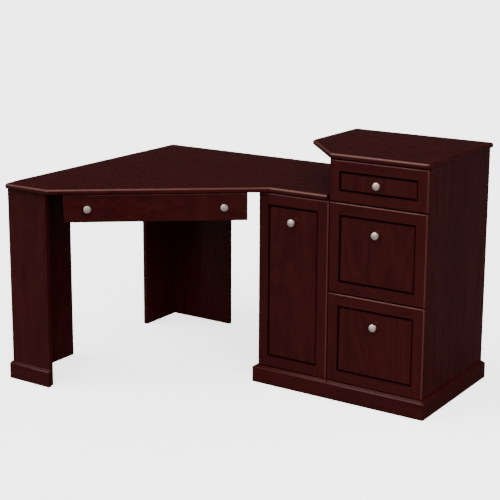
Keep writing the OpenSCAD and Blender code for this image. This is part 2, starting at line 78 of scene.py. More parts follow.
# Widths of the eased edges of thin backs and bottoms, and of drawer boards
THIN_EASE = 0.4 * MM
DRAWER_EASE = 0.6 * MM

# Gloss of the stained cherry
CHERRY_SHINE = {"Specular_IOR_Level": 0.35, "Specular_Tint": (1.0, 0.66, 0.60, 1.0)}
CHERRY_BUMP = 0.05

# Depth that a bump of full height stands for
BUMP_DEPTH = 0.4 * MM

# Vertices nearer than this are one
WELD = 1e-6


# ---------------------------------------------------------------- what a user can change


class CornerDeskSizes(bpy.types.PropertyGroup):
    """Sizes of the finish that the frame doesn't fix."""

    board_ease: FloatProperty(
        name="Board edge", description="Width of the eased edges of the boards",
        default=0.8 * MM, min=0.2 * MM, max=2 * MM, unit="LENGTH")
    moulding_ease: FloatProperty(
        name="Moulding edge", description="Width of the eased edges of the base mouldings",
        default=1.8 * MM, min=0.5 * MM, max=3 * MM, unit="LENGTH")
    top_upper: FloatProperty(
        name="Top edge, upper", description="Radius of the upper corner of the tops' edges",
        default=9 * MM, min=2 * MM, max=12 * MM, unit="LENGTH")
    top_lower: FloatProperty(
        name="Top edge, lower", description="Radius of the lower corner of the tops' edges",
        default=5 * MM, min=1 * MM, max=7 * MM, unit="LENGTH")
    top_corner: FloatProperty(
        name="Top corner", description="Radius of the tops' corners, seen from above",
        default=14 * MM, min=10 * MM, max=30 * MM, unit="LENGTH")
    edge_steps: IntProperty(
        name="Edge steps", description="Faces in each quarter of a rounded edge",
        default=8, min=3, max=16)
    frame_width: FloatProperty(
        name="Groove middle", description="From a front's edge to the middle of its groove",
        default=46.5 * MM, min=20 * MM, max=70 * MM, unit="LENGTH")
    box_frame_width: FloatProperty(
        name="Box groove middle",
        description="From the box drawer front's edge to the middle of its groove",
        default=43 * MM, min=20 * MM, max=70 * MM, unit="LENGTH")


def colour(name, what, value):
    """A colour that the panel shows."""
    return FloatVectorProperty(
        name=name, description=what, default=value, min=0, max=1, size=3, subtype="COLOR")


class CornerDeskColours(bpy.types.PropertyGroup):
    """Colours of the finishes."""

    cherry_light: colour("Cherry, light", "Light streaks of the stain", (0.0300, 0.0046, 0.0043))
    cherry_dark: colour("Cherry, dark", "Dark streaks of the stain", (0.0120, 0.0013, 0.0013))
    # Painted highlight: lighter cherry painted on the rounded edges at the top and the right,
    # where the light falls
    painted_highlight_light: colour("Painted highlight, light", "Light streaks of the highlight painted on rounded edges",
                       (0.062, 0.019, 0.017))
    painted_highlight_dark: colour("Painted highlight, dark", "Dark streaks of the highlight painted on rounded edges",
                      (0.034, 0.008, 0.0075))
    # Painted shade: near-black painted into the grooves of the fronts, where shade falls
    groove_painted_shade: colour("Groove shade", "Dark shade painted into the grooves of the fronts", (0.0060, 0.0006, 0.0006))
    lining_light: colour("Lining, light", "Light streaks of the drawer sides", (0.62, 0.46, 0.30))
    lining_dark: colour("Lining, dark", "Dark streaks of the drawer sides", (0.44, 0.29, 0.17))
    hardboard_light: colour("Hardboard, light", "Light fibres of the backs", (0.27, 0.16, 0.10))
    hardboard_dark: colour("Hardboard, dark", "Dark fibres of the backs", (0.15, 0.08, 0.05))
    nickel: colour("Nickel", "Satin nickel of the knobs", (0.95, 0.80, 0.72))
    zinc: colour("Zinc", "Plated steel of runners and hinges", (0.60, 0.61, 0.63))
    floor: colour("Floor", "Colour of the studio floor", (0.86, 0.86, 0.86))


# ---------------------------------------------------------------- node trees


def put(tree, kind, ins=(), **props):
    """Adds a node, sets its properties, and links or sets its inputs by name or number."""
    made = tree.nodes.new(kind)
    for key, value in props.items():
        setattr(made, key, value)
    for key, value in dict(ins).items():
        socket = made.inputs[key]
        if isinstance(value, bpy.types.NodeSocket):
            tree.links.new(value, socket)
        else:
            socket.default_value = value
    return made


def maths(tree, operation, a, b=0.0, clamp=False):
    """The output of a Math node."""
    made = put(tree, "ShaderNodeMath", {0: a, 1: b}, operation=operation, use_clamp=clamp)
    return made.outputs[0]


def scaled(tree, vector, factors):
    """A vector with each axis multiplied by its own factor."""
    made = put(tree, "ShaderNodeVectorMath", {0: vector, 1: factors}, operation="MULTIPLY")
    return made.outputs[0]


def noise(tree, vector, scale, detail, roughness=0.55):
    """A noise value that averages a half."""
    made = put(tree, "ShaderNodeTexNoise", {
        "Vector": vector, "Scale": scale, "Detail": detail, "Roughness": roughness})
    return made.outputs[0]


def swing(tree, value, amount):
    """A 0 to 1 value turned into one that swings about zero by an amount."""
    return maths(tree, "MULTIPLY", maths(tree, "SUBTRACT", value, 0.5), amount)


def new_group(name, ins, outs):
    """A shader node group with named sockets, and its input and output nodes."""
    tree = bpy.data.node_groups.new(name, "ShaderNodeTree")
    for label, kind in ins:
        tree.interface.new_socket(label, in_out="INPUT", socket_type="NodeSocket" + kind)
    for label, kind in outs:
        tree.interface.new_socket(label, in_out="OUTPUT", socket_type="NodeSocket" + kind)
    return tree, tree.nodes.new("NodeGroupInput").outputs, tree.nodes.new("NodeGroupOutput")


def grain_group():
    """Wood grain along Z: streaks, growth-ring figure, mottle and pores."""
    name = "Wood grain"
    if name in bpy.data.node_groups:
        return bpy.data.node_groups[name]
    tree, given, result = new_group(
        name,
        [("Vector", "Vector"), ("Seed", "Float"), ("Light", "Color"), ("Dark", "Color"),
         ("Streaks", "Float"), ("Figure", "Float"), ("Mottle", "Float"), ("Polish", "Float")],
        [("Color", "Color"), ("Roughness", "Float"), ("Height", "Float")])
    seeds = put(tree, "ShaderNodeCombineXYZ",
                {0: given["Seed"], 1: given["Seed"], 2: given["Seed"]}).outputs[0]
    place = put(tree, "ShaderNodeVectorMath",
                {0: seeds, 1: (3.17, 1.73, 5.39), 2: given["Vector"]},
                operation="MULTIPLY_ADD").outputs[0]
    drift = put(tree, "ShaderNodeTexNoise",
                {"Vector": scaled(tree, place, (1, 1, 0.45)), "Scale": 2.6, "Detail": 2.0})
    bent = put(tree, "ShaderNodeVectorMath",
               {0: drift.outputs["Color"], 1: (0.07, 0.07, 0.0), 2: place},
               operation="MULTIPLY_ADD").outputs[0]
    broad = noise(tree, scaled(tree, bent, (1, 1, 0.05)), 30.0, 4.0, 0.6)
    fine = noise(tree, scaled(tree, bent, (1, 1, 0.025)), 260.0, 3.0, 0.6)
    rings = maths(tree, "MULTIPLY", noise(tree, scaled(tree, bent, (1, 1, 0.2)), 3.6, 1.5), 17.0)
    figure = maths(tree, "MULTIPLY", maths(tree, "PINGPONG", rings, 0.5), 2.0)
    mottle = noise(tree, scaled(tree, bent, (1, 1, 0.5)), 34.0, 3.0, 0.65)
    pores = put(tree, "ShaderNodeMapRange", {
        "Value": noise(tree, scaled(tree, bent, (1, 1, 0.035)), 900.0, 1.0),
        "From Min": 0.60, "From Max": 0.74}).outputs[0]
    blend = swing(tree, broad, given["Streaks"])
    blend = maths(tree, "ADD", blend, swing(tree, fine, 0.45))
    blend = maths(tree, "ADD", blend, swing(tree, figure, given["Figure"]))
    blend = maths(tree, "ADD", blend, swing(tree, mottle, given["Mottle"]))
    blend = maths(tree, "ADD", blend, 0.5, clamp=True)
    stain = put(tree, "ShaderNodeMix", {0: blend, 6: given["Dark"], 7: given["Light"]},
                data_type="RGBA").outputs[2]
    filled = put(tree, "ShaderNodeMix",
                 {0: maths(tree, "MULTIPLY", pores, 0.45), 6: stain, 7: given["Dark"]},
                 data_type="RGBA").outputs[2]
    rough = maths(tree, "ADD", given["Polish"], swing(tree, fine, 0.10))
    rough = maths(tree, "ADD", rough, maths(tree, "MULTIPLY", pores, 0.10))
    height = maths(tree, "SUBTRACT", maths(tree, "MULTIPLY", fine, 0.5), pores)
    tree.links.new(filled, result.inputs["Color"])
    tree.links.new(rough, result.inputs["Roughness"])
    tree.links.new(height, result.inputs["Height"])
    return tree


def metal_group():
    """Satin metal: fine turned lines, cloudy roughness and a little tarnish."""
    name = "Satin metal"
    if name in bpy.data.node_groups:
        return bpy.data.node_groups[name]
    tree, given, result = new_group(
        name, [("Vector", "Vector"), ("Metal", "Color"), ("Polish", "Float"),
               ("Lines", "Float")],
        [("Color", "Color"), ("Roughness", "Float"), ("Height", "Float")])
    clouds = noise(tree, given["Vector"], 60.0, 3.0)
    lines = noise(tree, scaled(tree, given["Vector"], (1.0, 14.0, 1.0)), 800.0, 2.0)
    shade = put(tree, "ShaderNodeMapRange", {
        "Value": clouds, "From Min": 0.3, "From Max": 0.7, "To Min": 0.86, "To Max": 1.0})
    toned = put(tree, "ShaderNodeVectorMath", {0: given["Metal"], "Scale": shade.outputs[0]},
                operation="SCALE").outputs[0]
    rough = maths(tree, "ADD", given["Polish"], swing(tree, clouds, 0.16))
    rough = maths(tree, "ADD", rough, swing(tree, lines, 0.08))
    tree.links.new(toned, result.inputs["Color"])
    tree.links.new(rough, result.inputs["Roughness"])
    tree.links.new(maths(tree, "MULTIPLY", lines, given["Lines"]), result.inputs["Height"])
    return tree


def new_material(name, group, values, turn=(0, 0, 0), bump=0.1, **shader):
    """A material whose Principled BSDF is fed by a node group on turned object coordinates."""
    if name in bpy.data.materials:
        return bpy.data.materials[name]
    made = bpy.data.materials.new(name)
    made.use_nodes = True
    tree = made.node_tree
    surface = tree.nodes["Principled BSDF"]
    place = put(tree, "ShaderNodeTexCoord").outputs["Object"]
    turned = put(tree, "ShaderNodeMapping", {"Vector": place, "Rotation": turn}).outputs[0]
    source = put(tree, "ShaderNodeGroup", node_tree=group)
    tree.links.new(turned, source.inputs["Vector"])
    for key, value in values.items():
        source.inputs[key].default_value = (*value, 1.0) if isinstance(value, tuple) else value
    raised = put(tree, "ShaderNodeBump", {
        "Height": source.outputs["Height"], "Strength": bump, "Distance": BUMP_DEPTH})
    tree.links.new(source.outputs["Color"], surface.inputs["Base Color"])
    tree.links.new(source.outputs["Roughness"], surface.inputs["Roughness"])
    tree.links.new(raised.outputs[0], surface.inputs["Normal"])
    for key, value in shader.items():
        surface.inputs[key.replace("_", " ")].default_value = value
    made.diffuse_color = (*tuple(values.get("Light", values.get("Metal")))[:3], 1.0)
    return made


# Turns of the coordinates that lay the grain, which runs along Z, along another axis
UPRIGHT = (0.0, 0.0, 0.0)
ALONG_X = (0.0, math.pi / 2, 0.0)
ALONG_Y = (math.pi / 2, 0.0, 0.0)


def cherry(name, turn, seed, streaks=1.2, figure=0.18, mottle=0.25, polish=0.22):
    """Dark cherry veneer with its own stretch of grain."""
    tones = bpy.context.scene.corner_desk_colours
    return new_material(
        name, grain_group(),
        {"Seed": seed, "Light": tuple(tones.cherry_light), "Dark": tuple(tones.cherry_dark),
         "Streaks": streaks, "Figure": figure, "Mottle": mottle, "Polish": polish},
        turn, CHERRY_BUMP, **CHERRY_SHINE)


def painted_highlight_edge(name, turn, seed):
    """Cherry painted lighter on the rounded edges, as a painted highlight."""
    tones = bpy.context.scene.corner_desk_colours
    return new_material(
        name, grain_group(),
        {"Seed": seed, "Light": tuple(tones.painted_highlight_light), "Dark": tuple(tones.painted_highlight_dark),
         "Streaks": 1.0, "Figure": 0.1, "Mottle": 0.7, "Polish": 0.30},
        turn, CHERRY_BUMP, **CHERRY_SHINE)


def painted_groove_shade():
    """Near-black painted into the grooves of the fronts, as painted shade."""
    tones = bpy.context.scene.corner_desk_colours
    return new_material(
        "Cherry groove painted shade", grain_group(),
        {"Seed": 5.0, "Light": tuple(tones.groove_painted_shade), "Dark": tuple(c * 0.5 for c in tones.groove_painted_shade),
         "Streaks": 0.8, "Figure": 0.1, "Mottle": 0.6, "Polish": 0.5},
        UPRIGHT, CHERRY_BUMP, Specular_IOR_Level=0.02)


def lining(name, turn, seed):
    """Pale wood of the drawer sides and backs."""
    tones = bpy.context.scene.corner_desk_colours
    return new_material(
        name, grain_group(),
        {"Seed": seed, "Light": tuple(tones.lining_light), "Dark": tuple(tones.lining_dark),
         "Streaks": 1.4, "Figure": 0.25, "Mottle": 0.1, "Polish": 0.48}, turn, 0.1)


def hardboard():
    """Brown hardboard of the cabinet backs and drawer bottoms."""
    tones = bpy.context.scene.corner_desk_colours
    return new_material(
        "Hardboard", grain_group(),
        {"Seed": 7.0, "Light": tuple(tones.hardboard_light),
         "Dark": tuple(tones.hardboard_dark), "Streaks": 0.2, "Figure": 0.0, "Mottle": 1.1,
         "Polish": 0.55}, UPRIGHT, 0.3)


def nickel():
    """Satin nickel of the knobs."""
    return new_material(
        "Satin nickel", metal_group(),
        {"Metal": tuple(bpy.context.scene.corner_desk_colours.nickel), "Polish": 0.46,
         "Lines": 0.3}, UPRIGHT, 0.03, Metallic=0.85)


def zinc():
    """Bright plated steel of the runners, hinges and brackets."""
    return new_material(
        "Bright zinc", metal_group(),
        {"Metal": tuple(bpy.context.scene.corner_desk_colours.zinc), "Polish": 0.36,
         "Lines": 0.8}, UPRIGHT, 0.1, Metallic=1.0)


# ---------------------------------------------------------------- mesh helpers


def body_of(node):
    """The moving body that a frame node belongs to."""
    return NODES[node]["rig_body"]


def shade(mesh):
    """Shades rounded edges smooth and large flat faces flat."""
    large_area, sharp_corner = 6e-4, math.radians(32)
    mesh.shade_smooth()
    mesh.set_sharp_from_angle(angle=sharp_corner)
    planes = {}
    for face in mesh.polygons:
        level = round(face.normal.dot(face.center), 4)
        planes.setdefault((*(round(c, 2) for c in face.normal), level), []).append(face)
    for faces in planes.values():
        if sum(face.area for face in faces) > large_area:
            for face in faces:
                face.use_smooth = False


def add_piece(name, mesh, slot, materials, *nodes):
    """Shows a mesh in place of frame nodes of one body, with its finish."""
    shade(mesh)
    for material in materials:
        mesh.materials.append(material)
    piece = bpy.data.objects.new(name, mesh)
    bpy.context.scene.collection.objects.link(piece)
    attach(piece, body_of(nodes[0]))
    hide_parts(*nodes)
    return piece


def frame_copy(node, flat=True):
    """A welded working copy of a frame node's mesh, with its flat faces whole if flat."""
    same_plane = math.radians(0.5)
    work = bmesh.new()
    work.from_mesh(NODES[node].data)
    bmesh.ops.remove_doubles(work, verts=work.verts, dist=WELD)
    if flat:
        bmesh.ops.dissolve_limit(work, angle_limit=same_plane, verts=work.verts,
                                 edges=work.edges)
    return work


def ease_edges(work, width):
    """Rounds the sharp edges of a working mesh."""
    corner = math.radians(25)
    sharp = [e for e in work.edges if e.is_manifold and e.calc_face_angle() > corner]
    bmesh.ops.bevel(work, geom=sharp, offset=width, segments=3, profile=0.5,
                    affect="EDGES", clamp_overlap=True)


def to_mesh(work, name):
    """Turns a working mesh into a mesh, with its faces outwards, and frees it."""
    mesh = bpy.data.meshes.new(name)
    bmesh.ops.recalc_face_normals(work, faces=work.faces)
    work.to_mesh(mesh)
    work.free()
    return mesh


def board(node, slot, material, ease=None):
    """A board from its frame node, with eased edges."""
    width = ease or bpy.context.scene.corner_desk_sizes.board_ease
    work = frame_copy(node)
    ease_edges(work, width)
    return add_piece(node + "_finished", to_mesh(work, node), slot, [material], node)


def keep(node, material):
    """Leaves a frame node as it is and gives it a finish."""
    mesh = NODES[node].data
    mesh.materials.clear()
    mesh.materials.append(material)


def diagonal_angle():
    """The angle of the diagonal front edge from +X, from the drawer bottom's corners."""
    corners = [v.co for v in NODES["centre_bottom"].data.vertices]
    run = max(corners, key=lambda c: c.x) - min(corners, key=lambda c: c.y)
    return math.atan2(run.y, run.x)


def rounded_outline(points, rounds, steps):
    """A plan outline with the named corners rounded, and for each point the edge that
    leaves it, counted along the sharp outline."""
    made = []
    count = len(points)
    for i, here in enumerate(points):
        radius = rounds[i]
        before, after = Vector(points[i - 1]), Vector(points[(i + 1) % count])
        here = Vector(here)
        if radius <= 0:
            made.append((here, i))
            continue
        into, out = (here - before).normalized(), (after - here).normalized()
        turn = into.angle_signed(out)
        reach = radius * math.tan(abs(turn) / 2)
        start = here - into * reach
        side = Vector((-into.y, into.x)) * (-1 if turn > 0 else 1)
        centre = start + side * radius
        for k in range(steps + 1):
            angle = -turn * k / steps
            arm = Matrix.Rotation(angle, 2) @ (start - centre)
            made.append((centre + arm, i if k == steps else (i, "arc")))
    return made


CORNER_STEPS = 6
STRAIGHT_ON = 1e-4
# Finishes of a top: its veneer, and a painted highlight on its front edges
VENEER, HIGHLIGHTED = range(2)


def top_mesh(name, points, rounded, corner_rounds, low, high):
    """A top with bullnosed edges: rounded says which edges are, the rest are square. The
    upper half of the front edges takes a painted highlight."""
    sizes = bpy.context.scene.corner_desk_sizes
    upper, lower, steps = sizes.top_upper, sizes.top_lower, sizes.edge_steps
    outline = rounded_outline(points, corner_rounds, CORNER_STEPS)
    count = len(outline)
    share = [1.0 if isinstance(e, tuple) else float(rounded[e]) for _, e in outline]
    profile = []
    for k in range(steps + 1):
        angle = math.pi / 2 * (k / steps - 1)
        profile.append((lower * (1 - math.cos(angle)), low + lower * (1 + math.sin(angle))))
    for k in range(steps + 1):
        angle = math.pi / 2 * k / steps
        profile.append((upper * (1 - math.cos(angle)), high - upper * (1 - math.sin(angle))))
    work = bmesh.new()
    rings = []
    for inset, height in profile:
        ring = []
        for i, (here, _) in enumerate(outline):
            into = (here - outline[i - 1][0]).normalized()
            out = (outline[(i + 1) % count][0] - here).normalized()
            n1, n2 = Vector((-into.y, into.x)), Vector((-out.y, out.x))
            d1, d2 = share[i - 1] * inset, share[i] * inset
            det = n1.x * n2.y - n1.y * n2.x
            if abs(det) < STRAIGHT_ON:
                moved = here + n1 * d1
            else:
                moved = here + Vector((d1 * n2.y - d2 * n1.y, d2 * n1.x - d1 * n2.x)) / det
            ring.append(work.verts.new((moved.x, moved.y, height)))
        rings.append(ring)
    for below, above in zip(rings, rings[1:]):
        for i in range(count):
            j = (i + 1) % count
            work.faces.new((below[i], below[j], above[j], above[i]))
    work.faces.new(list(reversed(rings[0])))
    work.faces.new(rings[-1])
    work.normal_update()
    for face in work.faces:
        # Upper front slopes, which face the light, take the painted highlight
        slopes, faces_front = 0.35 < face.normal.z < 0.97, face.normal.y < -0.15
        face.material_index = HIGHLIGHTED if slopes and faces_front else VENEER
    return to_mesh(work, name)


def top_finishes(name, seed):
    """Finishes of a top: its veneer, and the painted highlight on the front edge that the tops
    share.
    """
    return [cherry(name, ALONG_X, seed, 1.1, 0.22, 0.2, 0.20),
            painted_highlight_edge("Cherry top edges painted highlight", ALONG_X, 3.0)]


class DeskOperator(bpy.types.Operator):
    """Shared settings of the desk's operators."""

    bl_options = {"REGISTER", "UNDO"}


# ---------------------------------------------------------------- pieces


class DESK_OT_tops(DeskOperator):
    """Worktop and raised top, with bullnosed edges and rounded corners"""

    bl_idname = "desk.tops"
    bl_label = "Tops"

    def execute(self, context):
        radius = context.scene.corner_desk_sizes.top_corner
        near = 0.01 * MM
        low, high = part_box("worktop")
        points = [v.co for v in NODES["worktop"].data.vertices]
        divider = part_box("cabinet_divider")[0].x
        front, door_plane = low.y, min(c.y for c in points if c.x > divider - 10 * near)
        turn_in = max(c.x for c in points if c.y < front + near)
        run = (door_plane - front) / math.tan(diagonal_angle())
        outline = [(low.x, high.y), (low.x, front), (turn_in, front),
                   (turn_in + run, door_plane), (high.x, door_plane), (high.x, high.y)]
        mesh = top_mesh("worktop", outline, [0, 1, 1, 1, 0, 0],
                        [0, radius, radius, 0, 0, 0], low.z, high.z)
        add_piece("worktop_finished", mesh, "top_veneer", top_finishes("Cherry worktop", 1.0),
                  "worktop")

        low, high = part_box("raised_top")
        points = [v.co for v in NODES["raised_top"].data.vertices]
        wing_front = min(c.y for c in points if c.x < low.x + near)
        front_left = min(c.x for c in points if c.y < low.y + near)
        outline = [(low.x, high.y), (low.x, wing_front), (front_left, low.y),
                   (high.x, low.y), (high.x, high.y)]
        mesh = top_mesh("raised_top", outline, [1, 1, 1, 1, 0],
                        [0, radius, radius, radius, 0], low.z, high.z)
        add_piece("raised_top_finished", mesh, "top_veneer",
                  top_finishes("Cherry raised top", 2.0), "raised_top")
        return {"FINISHED"}


class DESK_OT_legs(DeskOperator):
    """End leg and corner leg, with their eased boards"""

    bl_idname = "desk.legs"
    bl_label = "Legs"

    def execute(self, context):
        for seed, node in enumerate(("end_panel", "end_return_panel", "corner_leg_left",
                                     "corner_leg_right"), 3):
            board(node, "panel_veneer", cherry("Cherry " + node, UPRIGHT, seed))
        return {"FINISHED"}


class DESK_OT_cabinet(DeskOperator):
    """Sides, divider, floor, rails and backs of the cabinet"""

    bl_idname = "desk.cabinet"
    bl_label = "Cabinet"

    def execute(self, context):
        for seed, node in enumerate(("cabinet_left_side", "cabinet_divider",
                                     "cabinet_right_side"), 8):
            board(node, "panel_veneer", cherry("Cherry " + node, UPRIGHT, seed, 1.3, 0.2))
        across = cherry("Cherry rails", ALONG_X, 12.0)
        for node in ("cabinet_floor", "door_bay_rails", "drawer_bay_rails", "plinth_board"):
            board(node, "panel_veneer", across)
        board("centre_drawer_hangers", "panel_veneer",
              cherry("Cherry hangers", (math.pi / 2, 0.0, -diagonal_angle()), 13.0))
        for node in ("door_bay_back", "drawer_bay_back"):
            board(node, "hardboard", hardboard(), THIN_EASE)
        return {"FINISHED"}


class DESK_OT_mouldings(DeskOperator):
    """Base mouldings of the cabinet and the end leg"""

    bl_idname = "desk.mouldings"
    bl_label = "Base mouldings"

    def execute(self, context):
        ease = context.scene.corner_desk_sizes.moulding_ease
        for seed, (node, turn) in enumerate((("base_moulding_front", ALONG_X),
                                             ("base_moulding_sides", ALONG_Y),
                                             ("end_base_moulding", ALONG_X)), 15):
            board(node, "panel_veneer", cherry("Cherry " + node, turn, seed, 1.2, 0.1), ease)
        return {"FINISHED"}


# Order of a framed front's finishes
# The fourth finish is painted shade in the groove, the fifth a painted highlight on the rounded
# edges
STILE, RAIL, PANEL, GROOVE_SHADE, PAINTED_HIGHLIGHT = range(5)

# How far a groove reaches on each side of its middle, and where a front's rim begins
GROOVE_REACH = 12 * MM
RIM_START = 20 * MM


def framed_front(node, width, seed):
    """A front whose stiles, rails and panel each have their own grain, with painted shade in
    its groove and a painted highlight on its edges at the top and the right."""
    low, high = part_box(node)
    work = frame_copy(node, flat=False)
    for point, normal in (((low.x + width, 0, 0), (1, 0, 0)), ((high.x - width, 0, 0), (1, 0, 0)),
                          ((0, 0, low.z + width), (0, 0, 1)),
                          ((0, 0, high.z - width), (0, 0, 1))):
        bmesh.ops.bisect_plane(work, geom=[*work.verts, *work.edges, *work.faces],
                               plane_co=point, plane_no=normal, dist=WELD)
    middle = (low + high) / 2
    half = (high - low) / 2 - Vector((width, 0, width))
    outward = Vector((0, -1, 0))
    for face in work.faces:
        at = face.calc_center_median() - middle
        past_groove = abs(at.x) > half.x + RIM_START or abs(at.z) > half.z + RIM_START
        # Painted shade in the groove, painted highlight on the roundings at the top and the right
        if in_groove(face, low.y, at, half):
            face.material_index = GROOVE_SHADE
        elif past_groove and on_round(face, outward) and face.calc_center_median().y > low.y:
            face.material_index = PAINTED_HIGHLIGHT
        elif abs(at.x) > half.x:
            face.material_index = STILE
        elif abs(at.z) > half.z:
            face.material_index = RAIL
        else:
            face.material_index = PANEL
    finishes = [cherry(f"Cherry stiles {seed}", UPRIGHT, seed, 1.1, 0.12, 0.25),
                cherry(f"Cherry rails {seed}", ALONG_X, seed + 0.3, 1.1, 0.12, 0.25),
                cherry(f"Cherry panel {seed}", UPRIGHT, seed + 0.6, 0.7, 0.26, 0.5),
                painted_groove_shade(), painted_highlight_edge("Cherry fronts painted highlight", UPRIGHT, 27.0)]
    add_piece(node + "_finished", to_mesh(work, node), "front_veneer", finishes, node)


def on_round(face, outward):
    """Whether a face belongs to the rounding at the top or the right of a front, which takes a
    painted highlight.
    """
    right = Vector((-outward.y, outward.x, 0.0))
    return 0.1 < face.normal.dot(outward) < 0.99 and (
        face.normal.z > 0.1 or face.normal.dot(right) > 0.1)


def in_groove(face, front, at, half):
    """Whether a face of a front is one that takes painted shade: all of the groove but
    the wall that slopes up to the panel on the right, which faces the light."""
    deep = face.calc_center_median().y > front + 0.2 * MM and face.normal.y < -0.1
    beside = abs(abs(at.x) - half.x) < GROOVE_REACH and abs(at.z) < half.z + GROOVE_REACH
    above = abs(abs(at.z) - half.z) < GROOVE_REACH and abs(at.x) < half.x + GROOVE_REACH
    # The wall that faces the light is left without painted shade
    lit_wall = face.normal.x > 0.3 and 0 < at.x < half.x
    return deep and (beside or above) and not lit_wall


class DESK_OT_door(DeskOperator):
    """Door with its routed groove, and the hinges"""

    bl_idname = "desk.door"
    bl_label = "Door"

    def execute(self, context):
        framed_front("door", context.scene.corner_desk_sizes.frame_width, 20)
        for node in ("hinge_cups", "hinge_arms"):
            keep(node, zinc())
        return {"FINISHED"}


def drawer_box(prefix, turn, across, sides):
    """Sides, back and bottom of a drawer."""
    for seed, node in enumerate(sides, 30):
        board(node, "drawer_lining", lining("Lining sides " + prefix, turn, seed), DRAWER_EASE)
    board(prefix + "_back", "drawer_lining", lining("Lining back " + prefix, across, 36),
          DRAWER_EASE)
    board(prefix + "_bottom", "hardboard", hardboard(), THIN_EASE)


class DESK_OT_centre_drawer(DeskOperator):
    """Drawer under the diagonal edge"""

    bl_idname = "desk.centre_drawer"
    bl_label = "Diagonal drawer"

    def execute(self, context):
        angle = diagonal_angle()
        along = (0.0, math.pi / 2, -angle)
        deep = (math.pi / 2, 0.0, -angle)
        work = frame_copy("centre_front", flat=False)
        outward = Vector((math.sin(angle), -math.cos(angle), 0.0))
        for face in work.faces:
            # The roundings at the top and the right take a painted highlight
            face.material_index = int(on_round(face, outward))
        add_piece("centre_front_finished", to_mesh(work, "centre_front"), "front_veneer",
                  [cherry("Cherry diagonal front", along, 25.0, 1.2, 0.15, 0.2),
                   painted_highlight_edge("Cherry fronts painted highlight", UPRIGHT, 27.0)], "centre_front")
        drawer_box("centre", deep, along, ("centre_sides",))
        return {"FINISHED"}


class DESK_OT_cabinet_drawers(DeskOperator):
    """Box drawer and the two file drawers, with their hanging rails"""

    bl_idname = "desk.cabinet_drawers"
    bl_label = "Cabinet drawers"

    def execute(self, context):
        sizes = context.scene.corner_desk_sizes
        for prefix, width, seed in (("box", sizes.box_frame_width, 21),
                                    ("upper_file", sizes.frame_width, 22),
                                    ("lower_file", sizes.frame_width, 23)):
            framed_front(prefix + "_front", width, seed)
            drawer_box(prefix, ALONG_Y, ALONG_X,
                       (prefix + "_side_left", prefix + "_side_right"))
        for prefix in ("upper_file", "lower_file"):
            keep(prefix + "_hanging_rails", nickel())
        return {"FINISHED"}


KNOB_SIDES, SCREW_SIDES = 48, 24

# A knob's foot and waist as shares of its radius, and its rim and levels as shares of its
# reach from the front
KNOB_FOOT, KNOB_WAIST, KNOB_RIM = 0.55, 0.36, 0.22
FOOT_HEIGHT, NECK_HEIGHT, UNDER_LEVEL, UNDER_RISE, RIM_LEVEL = 0.07, 0.25, 0.42, 0.05, 0.69

# A knob screw's shank and head radius, its head's thickness, and its head's bevel
SHANK, HEAD, HEAD_THICK, HEAD_BEVEL = 2 * MM, 4.5 * MM, 2.5 * MM, 0.3 * MM


def lathe(work, profile, base, axis, around):
    """Turns a profile of radius and height about an axis that starts at base. A point on
    the axis closes the form."""
    side = axis.orthogonal().normalized()
    other = axis.cross(side)
    turns = [2 * math.pi * k / around for k in range(around)]
    spokes = [side * math.cos(turn) + other * math.sin(turn) for turn in turns]
    rings = []
    for radius, height in profile:
        at = base + axis * height
        closed = radius < WELD / 10
        rings.append([work.verts.new(at)] if closed else
                     [work.verts.new(at + spoke * radius) for spoke in spokes])
    for below, above in zip(rings, rings[1:]):
        for k in range(around):
            n = (k + 1) % around
            corners = [below[k % len(below)], below[n % len(below)],
                       above[n % len(above)], above[k % len(above)]]
            work.faces.new(list(dict.fromkeys(corners)))


def knob_profile(radius, reach):
    """A knob's outline: foot, waist, rounded rim and a low dome, as radius and height."""
    foot, waist, rim = KNOB_FOOT * radius, KNOB_WAIST * radius, KNOB_RIM * reach
    made = [(0.0, 0.0), (foot, 0.0), (foot, FOOT_HEIGHT * reach)]
    parts = [k / 6 for k in range(1, 7)]
    for part in parts:
        made.append((waist + (foot - waist) * (1 - part) ** 2,
                     (FOOT_HEIGHT + NECK_HEIGHT * part) * reach))
    for part in parts:
        made.append((waist + (radius - rim - waist) * part ** 1.4,
                     (UNDER_LEVEL + UNDER_RISE * part) * reach))
    middle = RIM_LEVEL * reach
    for k in range(1, 12):
        angle = math.pi * (k / 12 - 0.5)
        made.append((radius - rim + rim * math.cos(angle), middle + rim * math.sin(angle)))
    face = middle + rim
    for k in range(8):
        part = k / 7
        made.append(((radius - rim) * (1 - part), face + (reach - face) * (1 - (1 - part) ** 2)))
    return made


def finished_knobs(node, front, direction):
    """Smooth knobs and their screws, in place of a node of knobs on a front that faces
    the given plan direction."""
    axis = Vector((direction[0], direction[1], 0.0))
    along = Vector((-axis.y, axis.x, 0.0))
    points = [v.co for v in NODES[node].data.vertices]
    low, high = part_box(node)
    radius = (high.z - low.z) / 2
    face = max(v.co.dot(axis) for v in NODES[front].data.vertices)
    reach = max(p.dot(axis) for p in points) - face
    back = face - min(p.dot(axis) for p in points)
    spots = {round(p, 5) for p in (min(q.dot(along) for q in points) + radius,
                                   max(q.dot(along) for q in points) - radius)}
    screw = [(0.0, 0.0), (SHANK, 0.0), (SHANK, HEAD_THICK - back), (HEAD, HEAD_THICK - back),
             (HEAD, HEAD_BEVEL - back), (HEAD - HEAD_BEVEL, -back), (0.0, -back)]
    work = bmesh.new()
    for spot in sorted(spots):
        base = axis * face + along * spot + Vector((0.0, 0.0, (low.z + high.z) / 2))
        lathe(work, knob_profile(radius, reach), base, axis, KNOB_SIDES)
        lathe(work, screw, base, axis, SCREW_SIDES)
    add_piece(node + "_finished", to_mesh(work, node), "satin_nickel", [nickel()], node)


